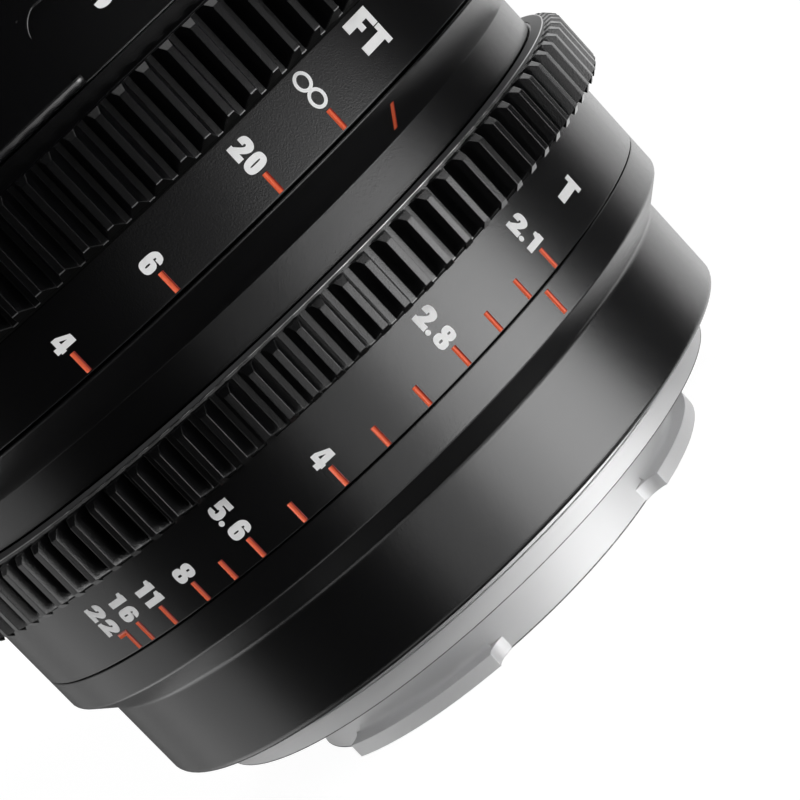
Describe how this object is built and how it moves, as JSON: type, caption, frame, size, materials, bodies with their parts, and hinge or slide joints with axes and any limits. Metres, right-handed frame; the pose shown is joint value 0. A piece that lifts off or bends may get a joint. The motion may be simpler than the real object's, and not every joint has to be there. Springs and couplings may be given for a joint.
{
  "type": "cinema prime lens",
  "caption": "Manual cinema prime lens with geared focus and iris rings, a helical focus cam, a bladed iris and a bayonet mount.",
  "frame": {"origin": "centre of the mount's flange face, on the optical axis", "axes": "+Z along the optical axis towards the front; -Y is the side that the picture shows, with the distance and T-stop index lines at 32 degrees from it towards +X"},
  "size_m": [0.0848, 0.0848, 0.0955],
  "materials": {
    "black_anodised": "black anodised, fine satin grain",
    "inner_black": "matt black",
    "mount_metal": "satin chromed",
    "screw_steel": "bright",
    "shim_steel": "satin",
    "cam_brass": "turned",
    "baffle_black": "flocked matt black",
    "blade_black": "matt black",
    "optical_glass": "coated, polished"
  },
  "bodies": {
    "housing": {"bayonet_mount": "mount_metal", "mount_screws": "screw_steel", "mount_shim": "shim_steel", "rear_baffle": "baffle_black", "rear_housing": "black_anodised", "guide_barrel": "inner_black", "index_collar": "black_anodised", "front_barrel": "black_anodised", "front_baffle": "baffle_black"},
    "focus_ring": {"focus_ring": "black_anodised", "focus_cam_sleeve": "cam_brass"},
    "lens_carriage": {"lens_carriage": "inner_black", "cam_followers": "cam_brass", "front_cell": "inner_black", "rear_cell": "inner_black", "front_element": "optical_glass", "second_element": "optical_glass", "third_element": "optical_glass", "fourth_element": "optical_glass", "fifth_element": "optical_glass", "rear_element": "optical_glass", "front_retaining_ring": "inner_black", "second_retaining_ring": "inner_black", "front_spacer": "inner_black", "rear_spacer": "inner_black", "rear_retaining_ring": "inner_black", "iris_base_plate": "inner_black", "iris_retaining_ring": "inner_black"},
    "iris_ring": {"iris_ring": "black_anodised", "iris_drive_pin": "cam_brass"},
    "iris_cam": {"iris_cam_ring": "cam_brass", "iris_drive_fork": "cam_brass"},
    "blade_1": {"iris_blade_1": "blade_black"},
    "blade_2": {"iris_blade_2": "blade_black"},
    "blade_3": {"iris_blade_3": "blade_black"},
    "blade_4": {"iris_blade_4": "blade_black"},
    "blade_5": {"iris_blade_5": "blade_black"},
    "blade_6": {"iris_blade_6": "blade_black"},
    "blade_7": {"iris_blade_7": "blade_black"},
    "blade_8": {"iris_blade_8": "blade_black"},
    "blade_9": {"iris_blade_9": "blade_black"},
    "blade_10": {"iris_blade_10": "blade_black"}
  },
  "joints": [
    {"name": "focus_turn", "type": "hinge", "parent": "housing", "child": "focus_ring", "pos_m": [0, 0, 0.046], "axis": [0, 0, 1], "range_deg": [0, 128]},
    {"name": "carriage_slide", "type": "slide", "parent": "housing", "child": "lens_carriage", "axis": [0, 0, 1], "range_m": [0, 0.00673]},
    {"name": "iris_turn", "type": "hinge", "parent": "housing", "child": "iris_ring", "pos_m": [0, 0, 0.024], "axis": [0, 0, 1], "range_deg": [-3.8, 74.9]},
    {"name": "iris_cam_turn", "type": "hinge", "parent": "lens_carriage", "child": "iris_cam", "pos_m": [0, 0, 0.033], "axis": [0, 0, 1], "range_deg": [-3.9, 75]},
    {"name": "blade_1_turn", "type": "hinge", "parent": "lens_carriage", "child": "blade_1", "pos_m": [0.017, 0, 0.028], "axis": [0, 0, 1], "range_deg": [-1.77, 33.95]},
    {"name": "blade_2_turn", "type": "hinge", "parent": "lens_carriage", "child": "blade_2", "pos_m": [0.01375, 0.00999, 0.028], "axis": [0, 0, 1], "range_deg": [-1.77, 33.95]},
    {"name": "blade_3_turn", "type": "hinge", "parent": "lens_carriage", "child": "blade_3", "pos_m": [0.00525, 0.01617, 0.028], "axis": [0, 0, 1], "range_deg": [-1.77, 33.95]},
    {"name": "blade_4_turn", "type": "hinge", "parent": "lens_carriage", "child": "blade_4", "pos_m": [-0.00525, 0.01617, 0.028], "axis": [0, 0, 1], "range_deg": [-1.77, 33.95]},
    {"name": "blade_5_turn", "type": "hinge", "parent": "lens_carriage", "child": "blade_5", "pos_m": [-0.01375, 0.00999, 0.028], "axis": [0, 0, 1], "range_deg": [-1.77, 33.95]},
    {"name": "blade_6_turn", "type": "hinge", "parent": "lens_carriage", "child": "blade_6", "pos_m": [-0.017, 0, 0.028], "axis": [0, 0, 1], "range_deg": [-1.77, 33.95]},
    {"name": "blade_7_turn", "type": "hinge", "parent": "lens_carriage", "child": "blade_7", "pos_m": [-0.01375, -0.00999, 0.028], "axis": [0, 0, 1], "range_deg": [-1.77, 33.95]},
    {"name": "blade_8_turn", "type": "hinge", "parent": "lens_carriage", "child": "blade_8", "pos_m": [-0.00525, -0.01617, 0.028], "axis": [0, 0, 1], "range_deg": [-1.77, 33.95]},
    {"name": "blade_9_turn", "type": "hinge", "parent": "lens_carriage", "child": "blade_9", "pos_m": [0.00525, -0.01617, 0.028], "axis": [0, 0, 1], "range_deg": [-1.77, 33.95]},
    {"name": "blade_10_turn", "type": "hinge", "parent": "lens_carriage", "child": "blade_10", "pos_m": [0.01375, -0.00999, 0.028], "axis": [0, 0, 1], "range_deg": [-1.77, 33.95]}
  ],
  "couplings": [
    {"joint": "carriage_slide", "follows": "focus_turn", "m_per_rad": 0.003008},
    {"joint": "iris_cam_turn", "follows": "iris_turn", "ratio": 1},
    {"joint": "blade_1_turn", "follows": "iris_turn", "ratio": 0.45264},
    {"joint": "blade_2_turn", "follows": "iris_turn", "ratio": 0.45264},
    {"joint": "blade_3_turn", "follows": "iris_turn", "ratio": 0.45264},
    {"joint": "blade_4_turn", "follows": "iris_turn", "ratio": 0.45264},
    {"joint": "blade_5_turn", "follows": "iris_turn", "ratio": 0.45264},
    {"joint": "blade_6_turn", "follows": "iris_turn", "ratio": 0.45264},
    {"joint": "blade_7_turn", "follows": "iris_turn", "ratio": 0.45264},
    {"joint": "blade_8_turn", "follows": "iris_turn", "ratio": 0.45264},
    {"joint": "blade_9_turn", "follows": "iris_turn", "ratio": 0.45264},
    {"joint": "blade_10_turn", "follows": "iris_turn", "ratio": 0.45264}
  ]
}
